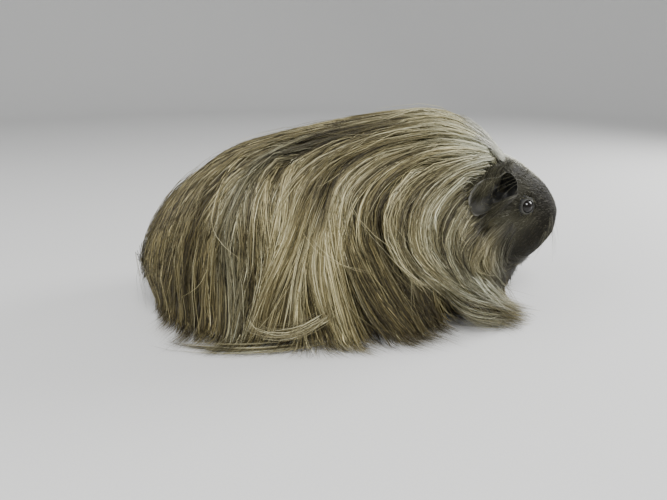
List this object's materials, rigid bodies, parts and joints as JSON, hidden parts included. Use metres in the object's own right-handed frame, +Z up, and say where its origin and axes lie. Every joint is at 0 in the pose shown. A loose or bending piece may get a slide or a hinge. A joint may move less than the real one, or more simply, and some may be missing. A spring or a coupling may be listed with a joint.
{
  "type": "guinea pig",
  "caption": "Life-size model of a long-haired guinea pig standing still, its straight coat hanging to the floor and its mane swept back from a short-furred face.",
  "frame": {"origin": "on the floor, under the middle of the animal's length and width", "axes": "+X towards the nose, +Y towards the animal's left side, +Z up"},
  "size_m": [0.2854, 0.1448, 0.135],
  "materials": {
    "coat": "long straight silky hair, silver-grey over olive brown",
    "face_fur": "short flat charcoal hair with a soft sheen",
    "bare_skin": "dark bare skin, fine-grained and slightly moist at the nose",
    "eye": "wet gloss, near black"
  },
  "bodies": {
    "root": {"neck": "coat", "shoulders": "coat", "back": "coat", "rump": "coat", "chest": "coat", "coat_shoulder_left": "coat", "coat_shoulder_right": "coat", "coat_side_left": "coat", "coat_side_right": "coat", "coat_flank_left": "coat", "coat_flank_right": "coat", "coat_hip_left": "coat", "coat_hip_right": "coat", "coat_rump_left": "coat", "coat_rump_right": "coat", "head": "face_fur", "jaw": "face_fur", "ear_left": "face_fur", "ear_right": "face_fur", "nose": "bare_skin", "foreleg_left": "bare_skin", "foreleg_right": "bare_skin", "hindleg_left": "bare_skin", "hindleg_right": "bare_skin", "eye_left": "eye", "eye_right": "eye"}
  },
  "joints": []
}
